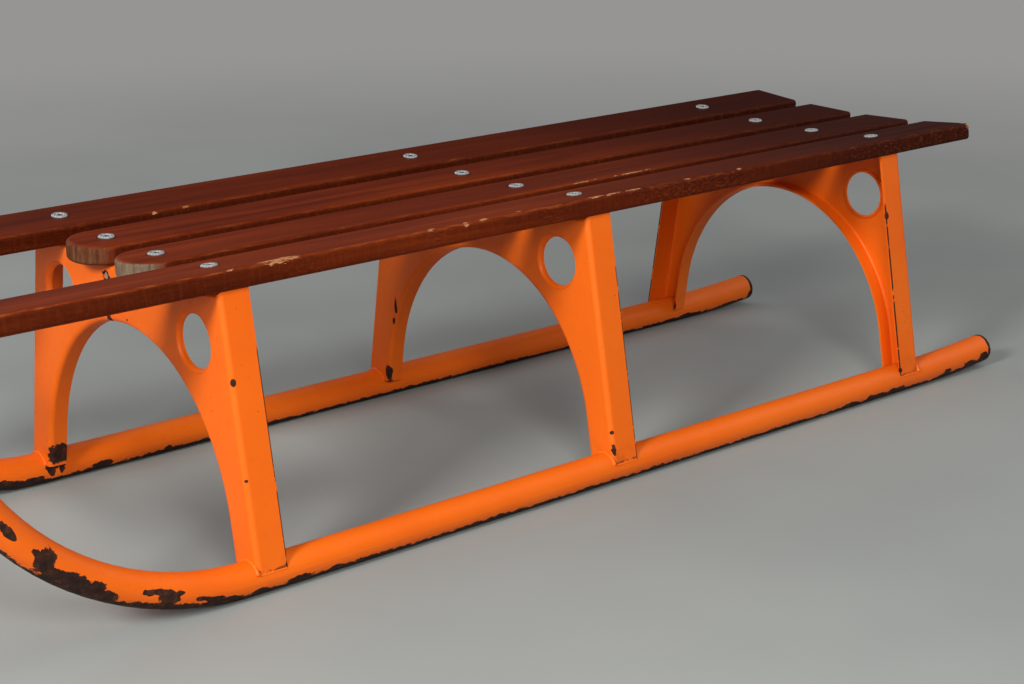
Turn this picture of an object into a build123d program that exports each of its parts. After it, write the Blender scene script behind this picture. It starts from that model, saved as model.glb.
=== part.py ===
from build123d import *
from math import acos, atan, atan2, cos, degrees, hypot, radians, sin, sqrt
import os

os.makedirs("parts", exist_ok=True)

# Axes: +X is the way the sled travels, +Y is its left side, +Z is up.
# The origin is on the ground below the middle of the overall box.

# Runner tube
tube_r = 12.5
tube_wall = 1.8
nose_bend_r = 233.0
nose_past_cross = 18.5
tail_bend_r = 1250.0
tail_bend_length = 95.0
rim_round = 0.8
end_straight = 8.0
plug_length = 5.0
plug_clear = 0.0
plug_inset = 0.6

# Rows of slat fasteners, measured from the middle row
front_row = 333.0
rear_row = -353.0
tail_reach = 466.0

# Wooden seat
slat_width = 53.0
slat_thick = 14.5
slat_pitch = 70.2
slat_edge_round = 3.2
slat_end_round = 1.5
seat_dish_r = 1190.0
seat_under_z = 204.1
slat_tail_reach = 458.0
inner_nose_centre = 336.0
outer_nose_past_cross = 5.0
nose_side_gap = 5.7

# Pressed steel bridge
sheet = 2.0
web_ahead = 9.5
flange_width = 24.4
arch_flange_width = 14.7
bend_r = 4.0
leg_lean = 0.17
leg_set_in = 0.16
leg_width = 29.0
foot_z = 17.5
arch_top_z = 161.7
arch_spring_z = 48.9
arch_crown_half_deg = 47.2
lug_hole_y = 93.4
lug_hole_z = 169.3
lug_hole_r = 19.5
lug_flare_r = 3.0
lug_lip_depth = 4.2
rope_hole_y = 22.8
rope_hole_z = 193.9
rope_hole_r = 3.5

# Rivets through slat and bridge
rivet_r = 3.0
rivet_head_r = 6.2
rivet_head_thick = 1.4
rivet_dish_r = 3.6
rivet_dish_depth = 0.6
rivet_bore_r = 1.3
rivet_bore_depth = 1.6
rivet_tail_r = 5.0
rivet_tail_thick = 1.8

# Front cross tube and its bolts
cross_r = 10.0
cross_wall = 1.8
bolt_r = 3.0
nut_across = 10.0
nut_thick = 5.0
bolt_past_nut = 2.0
bolt_clear = 0.2
cut_past = 5.0
cope_half_deg = 14.0
cross_bend_y = 66.0


def dish_z(y, r, low):
    return low + r - sqrt(r * r - y * y)


def seat_point(step, lift):
    """Centre of a slat's underside and its tilt, lifted along the slat's normal."""
    y = step * slat_pitch
    tilt = atan2(y, sqrt(seat_dish_r ** 2 - y * y))
    touch = slat_width / 2 - slat_edge_round
    sag = seat_dish_r - sqrt(seat_dish_r ** 2 - touch ** 2)
    z = dish_z(y, seat_dish_r, seat_under_z)
    return y - sin(tilt) * (sag + lift), z + cos(tilt) * (sag + lift), tilt


# Derived places: the cross tube touches the outer slats along their underside
outer_step = 1.5
half_track = outer_step * slat_pitch + slat_width / 2 + nose_side_gap + tube_r
web_from_middle = front_row + web_ahead
outer_y, outer_z, outer_tilt = seat_point(outer_step, -cross_r)
cross_straight = (half_track - cross_bend_y) / cos(outer_tilt)
cross_bend_z = outer_z - (outer_y - cross_bend_y) * sin(outer_tilt) / cos(outer_tilt)
cross_end_z = cross_bend_z + cross_straight * sin(outer_tilt)
cross_bend_r = cross_bend_y / sin(outer_tilt)
cross_angle = acos(1 - (cross_end_z - tube_r) / nose_bend_r)
cross_from_middle = web_from_middle + nose_bend_r * sin(cross_angle)
nose_sweep = cross_angle + (nose_past_cross - end_straight) / nose_bend_r
nose_reach = cross_from_middle + outer_nose_past_cross + slat_width / 2
middle_x = (tail_reach - nose_reach) / 2
cross_x = middle_x + cross_from_middle
nose_start_x = middle_x + web_from_middle
tail_end_x = middle_x - tail_reach + end_straight
tail_start_x = tail_end_x + tail_bend_length
tail_sweep = atan(tail_bend_length / sqrt(tail_bend_r ** 2 - tail_bend_length ** 2))


# Runners: round tube with a long upturned nose and a slight rise at the tail
tail_arc_end = Vector(
    tail_start_x - tail_bend_r * sin(tail_sweep), 0, tube_r + tail_bend_r * (1 - cos(tail_sweep))
)
tail_out = Vector(-cos(tail_sweep), 0, sin(tail_sweep))
nose_arc_end = Vector(
    nose_start_x + nose_bend_r * sin(nose_sweep), 0, tube_r + nose_bend_r * (1 - cos(nose_sweep))
)
nose_out = Vector(cos(nose_sweep), 0, sin(nose_sweep))
runner_table = [
    # name, side
    ("runner_left", 1),
    ("runner_right", -1),
]
for name, side in runner_table:
    aside = Vector(0, side * half_track, 0)
    nose_plane = Plane(origin=aside + Vector(nose_start_x, 0, tube_r), x_dir=(0, 1, 0), z_dir=(1, 0, 0))
    tail_plane = Plane(origin=aside + Vector(tail_start_x, 0, tube_r), x_dir=(0, 1, 0), z_dir=(1, 0, 0))
    nose_end_plane = Plane(origin=aside + nose_arc_end, x_dir=(0, 1, 0), z_dir=nose_out)
    tail_end_plane = Plane(origin=aside + tail_arc_end, x_dir=(0, 1, 0), z_dir=tail_out)
    nose_axis = Axis(aside + Vector(nose_start_x, 0, tube_r + nose_bend_r), (0, -1, 0))
    tail_axis = Axis(aside + Vector(tail_start_x, 0, tube_r + tail_bend_r), (0, 1, 0))
    with BuildPart() as runner:
        for radius, mode in ((tube_r, Mode.ADD), (tube_r - tube_wall, Mode.SUBTRACT)):
            with BuildSketch(nose_plane):
                Circle(radius)
            extrude(amount=-(nose_start_x - tail_start_x), mode=mode)
            with BuildSketch(nose_plane):
                Circle(radius)
            revolve(axis=nose_axis, revolution_arc=degrees(nose_sweep), mode=mode)
            with BuildSketch(tail_plane):
                Circle(radius)
            revolve(axis=tail_axis, revolution_arc=degrees(tail_sweep), mode=mode)
            for end_plane in (nose_end_plane, tail_end_plane):
                with BuildSketch(end_plane):
                    Circle(radius)
                extrude(amount=end_straight, mode=mode)
            if mode == Mode.ADD:
                fillet(runner.edges().sort_by(Axis.X)[0], rim_round)
                fillet(runner.edges().sort_by(Axis.Z)[-1], rim_round)
    runner.part.label = name
    export_step(runner.part, f"parts/{name}.step")

# Plugs that close the four tube ends
plug_table = [
    # name, side, end of the bend, way out of the tube
    ("plug_tail_left", 1, tail_arc_end, tail_out),
    ("plug_tail_right", -1, tail_arc_end, tail_out),
    ("plug_nose_left", 1, nose_arc_end, nose_out),
    ("plug_nose_right", -1, nose_arc_end, nose_out),
]
for name, side, bend_end, out in plug_table:
    face = bend_end + out * (end_straight - plug_inset) + Vector(0, side * half_track, 0)
    with BuildPart() as plug:
        with BuildSketch(Plane(origin=face, x_dir=(0, 1, 0), z_dir=out)):
            Circle(tube_r - tube_wall - plug_clear)
        extrude(amount=-plug_length)
    plug.part.label = name
    export_step(plug.part, f"parts/{name}.step")


# Outline of the bridge: leaning legs, dished top, and an arch of three radii
def line_meets_circle(offset, centre_y, centre_z, radius, upper):
    a = 1 + leg_lean ** 2
    b = -2 * leg_lean * (offset - centre_y) - 2 * centre_z
    c = (offset - centre_y) ** 2 + centre_z ** 2 - radius ** 2
    root = sqrt(b * b - 4 * a * c)
    z = (-b + root) / (2 * a) if upper else (-b - root) / (2 * a)
    return offset - leg_lean * z, z


lean_scale = hypot(1, leg_lean)
outer_offset = half_track + tube_r - leg_set_in + leg_lean * tube_r
inner_offset = outer_offset - leg_width * lean_scale
spring_turn = atan(1 / leg_lean)
spring_y = inner_offset - leg_lean * arch_spring_z
crown_half = radians(arch_crown_half_deg)
crown_across = sin(crown_half)
crown_up = cos(crown_half)
spring_across = sin(spring_turn) - crown_across
spring_up = cos(spring_turn) - crown_up
arch_rise = arch_top_z - arch_spring_z
arch_scale = crown_across * spring_up + (1 - crown_up) * spring_across
arch_crown_r = (spring_y * spring_up + arch_rise * spring_across) / arch_scale
arch_haunch_r = (spring_y * (1 - crown_up) - arch_rise * crown_across) / arch_scale
crown_z = arch_top_z - arch_crown_r
haunch_y = (arch_crown_r - arch_haunch_r) * crown_across
haunch_z = crown_z + (arch_crown_r - arch_haunch_r) * crown_up


def add_arch(inset, low_z):
    """Arch edge from one foot up over the crown and down to the other foot."""
    haunch_r = arch_haunch_r + inset
    crown_r = arch_crown_r + inset
    leg_line = inner_offset + inset * lean_scale
    mid_turn = (crown_half + spring_turn) / 2
    spring = (haunch_y + haunch_r * sin(spring_turn), haunch_z + haunch_r * cos(spring_turn))
    haunch_mid = (haunch_y + haunch_r * sin(mid_turn), haunch_z + haunch_r * cos(mid_turn))
    meet = (crown_r * sin(crown_half), crown_z + crown_r * cos(crown_half))
    foot = (leg_line - leg_lean * low_z, low_z)
    Line(foot, spring)
    ThreePointArc(spring, haunch_mid, meet)
    ThreePointArc(meet, (0, crown_z + crown_r), (-meet[0], meet[1]))
    ThreePointArc((-meet[0], meet[1]), (-haunch_mid[0], haunch_mid[1]), (-spring[0], spring[1]))
    Line((-spring[0], spring[1]), (-foot[0], foot[1]))
    return foot


def add_outline(inset, low_z):
    """Closed outline of the bridge, moved inward by inset, with its feet at low_z."""
    foot = add_arch(inset, low_z)
    dish_r = seat_dish_r + inset
    leg_line = outer_offset - inset * lean_scale
    top = line_meets_circle(leg_line, 0, seat_under_z + seat_dish_r, dish_r, False)
    toe = (leg_line - leg_lean * low_z, low_z)
    Line((-foot[0], foot[1]), (-toe[0], toe[1]))
    Line((-toe[0], toe[1]), (-top[0], top[1]))
    ThreePointArc((-top[0], top[1]), (0, seat_under_z - inset), top)
    Line(top, toe)
    Line(toe, foot)


# Bridges: pressed sheet with an arch, flanges all round and two flared holes
bridge_table = [
    # name, row, way the web faces, rope holes
    ("bridge_front", front_row, 1, True),
    ("bridge_middle", 0.0, 1, False),
    ("bridge_rear", rear_row, -1, False),
]
slat_rows = [
    # place, side by pitch
    ("left_outer", outer_step),
    ("left_inner", 0.5),
    ("right_inner", -0.5),
    ("right_outer", -outer_step),
]

for name, row, facing, roped in bridge_table:
    web_x = middle_x + row + facing * web_ahead
    web_plane = Plane(origin=(web_x, 0, 0), x_dir=(0, 1, 0), z_dir=(1, 0, 0))
    pocket_plane = web_plane.offset(-facing * sheet)
    trim_plane = web_plane.offset(-facing * arch_flange_width)
    with BuildPart() as bridge:
        with BuildSketch(web_plane):
            with BuildLine():
                add_outline(0, foot_z)
            make_face()
        extrude(amount=-facing * flange_width)
        web_face = bridge.faces().sort_by(Axis.X)[-1 if facing > 0 else 0]
        rim = [e for e in web_face.edges() if e.center().Z > foot_z + 0.1]
        fillet(rim, bend_r)
        with BuildSketch(pocket_plane):
            with BuildLine():
                add_outline(sheet, foot_z - cut_past)
            make_face()
        extrude(amount=-facing * flange_width, mode=Mode.SUBTRACT)
        corner = [
            e
            for e in bridge.edges()
            if abs(e.center().X - pocket_plane.origin.X) < 0.01 and e.center().Z > foot_z + 0.1
        ]
        fillet(corner, bend_r - sheet)
        with BuildSketch(trim_plane):
            with BuildLine():
                spot = add_arch(sheet + 0.4, foot_z - cut_past)
                Line((-spot[0], spot[1]), spot)
            make_face()
        extrude(amount=-facing * flange_width, mode=Mode.SUBTRACT)
        with BuildSketch(web_plane):
            for side in (1, -1):
                with Locations((side * lug_hole_y, lug_hole_z)):
                    Circle(lug_hole_r + lug_flare_r)
            if roped:
                for side in (1, -1):
                    with Locations((side * rope_hole_y, rope_hole_z)):
                        Circle(rope_hole_r)
        extrude(amount=-facing * (sheet + cut_past), mode=Mode.SUBTRACT)
        for side in (1, -1):
            hole_y = side * lug_hole_y
            flare_plane = Plane(
                origin=(web_x, hole_y, lug_hole_z), x_dir=(0, 1, 0), z_dir=(0, 0, -facing)
            )
            with BuildSketch(flare_plane):
                with BuildLine():
                    swell = lug_hole_r + lug_flare_r
                    inner = lug_flare_r - sheet
                    Line((swell, 0), (swell, -sheet))
                    RadiusArc((swell, -sheet), (lug_hole_r + sheet, -lug_flare_r), inner)
                    Line((lug_hole_r + sheet, -lug_flare_r), (lug_hole_r + sheet, -lug_lip_depth))
                    Line((lug_hole_r + sheet, -lug_lip_depth), (lug_hole_r, -lug_lip_depth))
                    Line((lug_hole_r, -lug_lip_depth), (lug_hole_r, -lug_flare_r))
                    RadiusArc((lug_hole_r, -lug_flare_r), (swell, 0), -lug_flare_r)
                make_face()
            revolve(axis=Axis((web_x, hole_y, lug_hole_z), (1, 0, 0)), revolution_arc=360)
        for place, step in slat_rows:
            y, z, tilt = seat_point(step, 0)
            seat_plane = Plane(
                origin=(middle_x + row, y, z), x_dir=(1, 0, 0), z_dir=(0, -sin(tilt), cos(tilt))
            )
            with BuildSketch(seat_plane):
                Circle(rivet_r)
            extrude(amount=-(sheet + cut_past), both=True, mode=Mode.SUBTRACT)
        for side in (1, -1):
            saddle = Plane(
                origin=(web_x + facing, side * half_track, tube_r), x_dir=(0, 1, 0), z_dir=(facing, 0, 0)
            )
            with BuildSketch(saddle):
                Circle(tube_r)
            extrude(amount=-(flange_width + cut_past), mode=Mode.SUBTRACT)
    bridge.part.label = name
    export_step(bridge.part, f"parts/{name}.step")

# Slats: flat boards with rounded edges; noses are rounded, tails are cut square
slat_table = [
    # name, step, nose centre ahead of the middle row
    ("slat_left_outer", outer_step, cross_from_middle + outer_nose_past_cross),
    ("slat_left_inner", 0.5, inner_nose_centre),
    ("slat_right_inner", -0.5, inner_nose_centre),
    ("slat_right_outer", -outer_step, cross_from_middle + outer_nose_past_cross),
]
for name, step, nose in slat_table:
    y, z, tilt = seat_point(step, 0)
    half = slat_width / 2
    tail_x = middle_x - slat_tail_reach
    nose_x = middle_x + nose
    under = Plane(origin=(0, y, z), x_dir=(1, 0, 0), z_dir=(0, -sin(tilt), cos(tilt)))
    rows = [front_row, 0.0, rear_row]
    if nose > front_row:
        rows = [cross_from_middle] + rows
    with BuildPart() as slat:
        with BuildSketch(under):
            with BuildLine():
                Line((tail_x, -half), (nose_x, -half))
                ThreePointArc((nose_x, -half), (nose_x + half, 0), (nose_x, half))
                Line((nose_x, half), (tail_x, half))
                Line((tail_x, half), (tail_x, -half))
            make_face()
        extrude(amount=slat_thick)
        tail = slat.faces().sort_by(Axis.X)[0]
        tail_edges = tail.edges()
        sides = [e for e in slat.edges() if e not in tail_edges]
        fillet(sides, slat_edge_round)
        fillet(slat.faces().sort_by(Axis.X)[0].edges(), slat_end_round)
        with BuildSketch(under):
            for row in rows:
                with Locations((middle_x + row, 0)):
                    Circle(rivet_r)
        extrude(amount=slat_thick, mode=Mode.SUBTRACT)
    slat.part.label = name
    export_step(slat.part, f"parts/{name}.step")

# Rivets: dished head on the slat, shank through slat and flange, spread tail below
rivet_rows = [
    # place, row
    ("front", front_row),
    ("middle", 0.0),
    ("rear", rear_row),
]
for row_name, row in rivet_rows:
    for place, step in slat_rows:
        name = f"rivet_{row_name}_{place}"
        y, z, tilt = seat_point(step, 0)
        normal = Vector(0, -sin(tilt), cos(tilt))
        centre = Vector(middle_x + row, y, z)
        drop = seat_dish_r - sqrt(seat_dish_r ** 2 - (slat_width / 2 - slat_edge_round) ** 2)
        profile = Plane(origin=centre, x_dir=(1, 0, 0), z_dir=(0, -cos(tilt), -sin(tilt)))
        grip_low = -drop - sheet
        with BuildPart() as rivet:
            with BuildSketch(profile):
                with BuildLine():
                    top = slat_thick + rivet_head_thick
                    floor = top - rivet_dish_depth
                    Polyline(
                        (0, top - rivet_bore_depth),
                        (rivet_bore_r, top - rivet_bore_depth),
                        (rivet_bore_r, floor),
                        (rivet_dish_r - rivet_dish_depth, floor),
                        (rivet_dish_r, top),
                        (rivet_head_r - 0.8, top),
                        (rivet_head_r, top - 0.8),
                        (rivet_head_r, slat_thick),
                        (rivet_r, slat_thick),
                        (rivet_r, grip_low),
                        (rivet_tail_r, grip_low),
                        (rivet_tail_r, grip_low - rivet_tail_thick + 0.6),
                        (rivet_tail_r - 0.9, grip_low - rivet_tail_thick),
                        (0, grip_low - rivet_tail_thick),
                        (0, top - rivet_bore_depth),
                    )
                make_face()
            revolve(axis=Axis(centre, normal), revolution_arc=360)
        rivet.part.label = name
        export_step(rivet.part, f"parts/{name}.step")

# Cross tube: one gentle bend between two straight ends, coped onto the two runner noses
cross_bend_axis = Axis((cross_x, 0, cross_bend_z + cross_bend_r * cos(outer_tilt)), (1, 0, 0))
with BuildPart() as cross_tube:
    for radius, mode in ((cross_r, Mode.ADD), (cross_r - cross_wall, Mode.SUBTRACT)):
        for side in (1, -1):
            bend_plane = Plane(
                origin=(cross_x, side * cross_bend_y, cross_bend_z),
                x_dir=(1, 0, 0),
                z_dir=(0, side * cos(outer_tilt), sin(outer_tilt)),
            )
            with BuildSketch(bend_plane):
                Circle(radius)
            extrude(amount=cross_straight, mode=mode)
        with BuildSketch(bend_plane):
            Circle(radius)
        revolve(axis=cross_bend_axis, revolution_arc=degrees(2 * outer_tilt), mode=mode)
    for step in (outer_step, -outer_step):
        y, z, tilt = seat_point(step, cut_past)
        seat_plane = Plane(
            origin=(cross_x, y, z), x_dir=(0, cos(tilt), sin(tilt)), z_dir=(0, -sin(tilt), cos(tilt))
        )
        with BuildSketch(seat_plane):
            Circle(bolt_r + bolt_clear)
        extrude(amount=-(2 * cut_past + 2 * cross_r), mode=Mode.SUBTRACT)
    for side in (1, -1):
        bend_centre = Vector(nose_start_x, side * half_track, tube_r + nose_bend_r)
        low_turn = cross_angle - radians(cope_half_deg)
        cope_out = Vector(sin(low_turn), 0, -cos(low_turn))
        cope_plane = Plane(
            origin=bend_centre + cope_out * nose_bend_r,
            x_dir=(0, 1, 0),
            z_dir=(cos(low_turn), 0, sin(low_turn)),
        )
        with BuildSketch(cope_plane):
            Circle(tube_r)
        revolve(
            axis=Axis(bend_centre, (0, -1, 0)), revolution_arc=2 * cope_half_deg, mode=Mode.SUBTRACT
        )
cross_tube.part.label = "front_cross_tube"
export_step(cross_tube.part, "parts/front_cross_tube.step")

# Bolts and nuts that hold the outer slats to the cross tube
bolt_table = [
    # place, step
    ("left", outer_step),
    ("right", -outer_step),
]
for place, step in bolt_table:
    y, z, tilt = seat_point(step, 0)
    normal = Vector(0, -sin(tilt), cos(tilt))
    centre = Vector(cross_x, y, z)
    profile = Plane(origin=centre, x_dir=(1, 0, 0), z_dir=(0, -cos(tilt), -sin(tilt)))
    nut_top = -2 * cross_r
    with BuildPart() as bolt:
        with BuildSketch(profile):
            with BuildLine():
                top = slat_thick + rivet_head_thick
                floor = top - rivet_dish_depth
                low = nut_top - nut_thick - bolt_past_nut
                Polyline(
                    (0, top - rivet_bore_depth),
                    (rivet_bore_r, top - rivet_bore_depth),
                    (rivet_bore_r, floor),
                    (rivet_dish_r - rivet_dish_depth, floor),
                    (rivet_dish_r, top),
                    (rivet_head_r - 0.8, top),
                    (rivet_head_r, top - 0.8),
                    (rivet_head_r, slat_thick),
                    (bolt_r, slat_thick),
                    (bolt_r, low + 0.6),
                    (bolt_r - 0.6, low),
                    (0, low),
                    (0, top - rivet_bore_depth),
                )
            make_face()
        revolve(axis=Axis(centre, normal), revolution_arc=360)
    bolt.part.label = f"cross_bolt_{place}"
    export_step(bolt.part, f"parts/cross_bolt_{place}.step")
    nut_plane = Plane(origin=centre + normal * nut_top, x_dir=(1, 0, 0), z_dir=-normal)
    with BuildPart() as nut:
        with BuildSketch(nut_plane):
            RegularPolygon(nut_across / 2, 6, major_radius=False)
            Circle(bolt_r, mode=Mode.SUBTRACT)
        extrude(amount=nut_thick)
    nut.part.label = f"cross_nut_{place}"
    export_step(nut.part, f"parts/cross_nut_{place}.step")
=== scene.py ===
import math

import bmesh
import bpy
from mathutils import Matrix, Vector


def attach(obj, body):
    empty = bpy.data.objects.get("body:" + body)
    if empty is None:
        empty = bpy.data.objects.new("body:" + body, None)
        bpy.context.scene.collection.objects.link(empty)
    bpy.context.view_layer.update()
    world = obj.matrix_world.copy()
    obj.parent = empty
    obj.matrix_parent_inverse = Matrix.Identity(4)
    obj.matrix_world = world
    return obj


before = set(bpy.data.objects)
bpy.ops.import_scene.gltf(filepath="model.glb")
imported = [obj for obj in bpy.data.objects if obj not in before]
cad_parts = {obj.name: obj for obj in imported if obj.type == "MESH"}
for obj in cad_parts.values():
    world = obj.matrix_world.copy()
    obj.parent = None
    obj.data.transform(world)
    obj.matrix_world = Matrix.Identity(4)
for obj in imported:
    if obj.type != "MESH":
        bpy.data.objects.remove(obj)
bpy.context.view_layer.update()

# Places and sizes on the sled, in metres, in the same frame as the solids
MIDDLE_X = -0.068539
HALF_TRACK = 0.150
TUBE_R = 0.0125
NOSE_BEND_R = 0.233
NOSE_START_X = MIDDLE_X + 0.3425
TAIL_X = MIDDLE_X - 0.466
SEAT_DISH_R = 1.190
SEAT_UNDER_Z = 0.2041
SLAT_WIDTH = 0.053
SLAT_THICK = 0.0145
SLAT_PITCH = 0.0702
SLAT_EDGE_ROUND = 0.0032
SLAT_TAIL_X = MIDDLE_X - 0.458
ARRIS_REACH = 0.0034
SHORT_NOSE_X = MIDDLE_X + 0.336
HEAD_R = 0.0062
# Reach of the painted shade round a rivet head
HEAD_SHADE_R = 0.0086
HEAD_DISH_R = 0.0036
HEAD_BORE_R = 0.0021
WEB_AHEAD = 0.0095
FLANGE_WIDTH = 0.0244
FOOT_Z = 0.0175
LEG_LEAN = 0.17
LEG_OFFSET = 0.164465
CROSS_X = 0.503068
CROSS_R = 0.010
CROSS_BEND_Y = 0.066
LONG_NOSE_X = CROSS_X + 0.005
# Depth below a slat's top that is well under the nut of its bolt
BELOW_NUT = 0.05

# Rows of fasteners and the bridge below each: row name, x, way the web faces
BRIDGE_ROWS = [
    ("front", MIDDLE_X + 0.333, 1),
    ("middle", MIDDLE_X, 1),
    ("rear", MIDDLE_X - 0.353, -1),
]

# Slats: name, steps of the pitch from the middle, x of the nose centre
SLATS = [
    ("left_outer", 1.5, LONG_NOSE_X),
    ("left_inner", 0.5, SHORT_NOSE_X),
    ("right_inner", -0.5, SHORT_NOSE_X),
    ("right_outer", -1.5, LONG_NOSE_X),
]

SIDES = ((1, "left"), (-1, "right"))

# Weld beads: radius, how far their middle is off the tube below, and where they lie, in metres
BEAD_OFF = 0.0002
BEAD_CORNERS = 8
LEG_BEAD_R = 0.0016
LEG_BEAD_START = math.radians(24)
LEG_BEAD_TURN = math.radians(132)
LEG_RIPPLE_AHEAD = 0.00028
LEG_RIPPLE_UP = 0.00018
FOOT_BEAD_R = 0.0013
FOOT_BEAD_Y = HALF_TRACK + 0.0109
FOOT_BEAD_Z = FOOT_Z - 0.0006
FOOT_BEAD_BACK = WEB_AHEAD - FLANGE_WIDTH + 0.0006
FOOT_BEAD_FRONT = WEB_AHEAD - 0.0020
CROSS_BEAD_R = 0.0015
CROSS_RIPPLE = 0.0002

# Camera, solved from the fasteners and runner edges: its place in metres and its three directions
CAMERA_PLACE = (0.983754, 1.270382, 0.564726)
CAMERA_RIGHT = Vector((-0.7613, 0.6483, -0.0099))
CAMERA_DOWN = Vector((0.1896, 0.2080, -0.9596))
CAMERA_AHEAD = Vector((-0.6200, -0.7324, -0.2813))
LENS_MM = 72.462
FILM_MM = 36

# Lamps: name, place and width in metres, power in watts, colour
DAYLIGHT = (1.0, 0.99, 0.97)
SKYLIGHT = (0.97, 0.98, 1.0)
LAMPS = [
    ("ahead", (2.18, 0.71, 1.32), 0.5, 50, DAYLIGHT),
    ("aside", (1.08, 2.03, 1.32), 0.8, 33, DAYLIGHT),
    ("far_side", (0.5, -2.4, 1.6), 2.0, 16, SKYLIGHT),
    ("tail", (-2.4, 0.9, 1.3), 1.8, 10, SKYLIGHT),
]
LAMP_AIM = Vector((0, 0, 0.1))


def linear(r, g, b):
    """Colour read on a 0 to 255 scale, as the shader wants it."""
    parts = [c / 255 for c in (r, g, b)]
    return tuple(c / 12.92 if c <= 0.04045 else ((c + 0.055) / 1.055) ** 2.4 for c in parts)


# Orange paint and the steel below it
ORANGE = linear(238, 104, 12)
ORANGE_DEEP = linear(216, 80, 6)
ORANGE_PALE = linear(246, 124, 30)
RUST_DARK = linear(27, 12, 7)
RUST_MIDDLE = linear(49, 23, 12)
RUST_BROWN = linear(82, 45, 25)
RUST_RED = linear(96, 30, 12)
# Near black towards the bottom of the tubes
RUST_LOWEST = linear(24, 12, 9)
PIN_PRICK = linear(104, 34, 12)
PAINT_GRIME = linear(112, 44, 12)
LIFTED_PAINT = linear(128, 48, 14)

# Stained wood, dark to pale where there are several
STAIN = (linear(78, 22, 4), linear(102, 33, 6), linear(120, 43, 9), linear(140, 58, 16))
STAIN_FIBRE = linear(56, 15, 4)
STAIN_TAIL = linear(44, 9, 2)
STAIN_FLANK = linear(40, 8, 2)
# Rubbed wear and painted highlight on the upper arrises
WOOD_RUBBED_AND_HIGHLIGHT = linear(168, 86, 36)
WOOD_THROUGH = linear(196, 142, 98)
SAW_MARK = linear(150, 70, 30)
FLECK_PALE = linear(148, 70, 32)
FLECK_DARK = linear(34, 9, 3)
# Painted shade round the rivet heads
HEAD_SHADE = linear(26, 9, 4)
TAIL_END = (linear(34, 13, 7), linear(76, 33, 16), linear(108, 58, 32))
RAW_WOOD = (linear(150, 88, 50), linear(214, 158, 112))

# Weathered nose of each slat, dark to pale
NOSE_BROWN = (linear(58, 36, 24), linear(88, 58, 38), linear(112, 82, 58))
NOSE_GREY = (linear(82, 72, 58), linear(112, 102, 84), linear(132, 122, 102))
NOSE_SHADES = {
    "left_outer": NOSE_BROWN,
    "left_inner": NOSE_GREY,
    "right_inner": NOSE_BROWN,
    "right_outer": NOSE_BROWN,
}

# Zinc fasteners
ZINC = (linear(126, 124, 124), linear(176, 175, 176), linear(214, 213, 214))
# Painted shade in the bore, along the edge of the dish and under the rim
ZINC_BORE_SHADE = linear(26, 22, 20)
ZINC_DISH_SHADE = linear(58, 50, 44)
ZINC_SKIRT_SHADE = linear(60, 46, 38)

# Floor and what is behind it, with how far from the sled's middle the one turns into the other
FLOOR_REACH = 40
BACKDROP_FROM = 0.9
BACKDROP_TO = 2.4
FLOOR_DEEP = linear(150, 153, 150)
FLOOR_PALE = linear(160, 163, 159)
BACKDROP = linear(150, 149, 148)
SKY = linear(222, 222, 226)

# Where the runners are worn bare, in metres: below their middle line, until the wear fades out
# along the nose, and from the tail's end
WORN_BELOW = 0.0063
NOSE_WEAR_FROM = 0.36
NOSE_WEAR_TO = 0.47
TAIL_RIM = 0.0044

# How far noise breaks up the edge of a chip, in half sizes of the chip
RUNNER_CHIP_RAG = 1.9
BRIDGE_CHIP_RAG = 1.8
WOOD_CHIP_RAG = 3.2
WOOD_CHIP_FLECKS = 3.6

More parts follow.
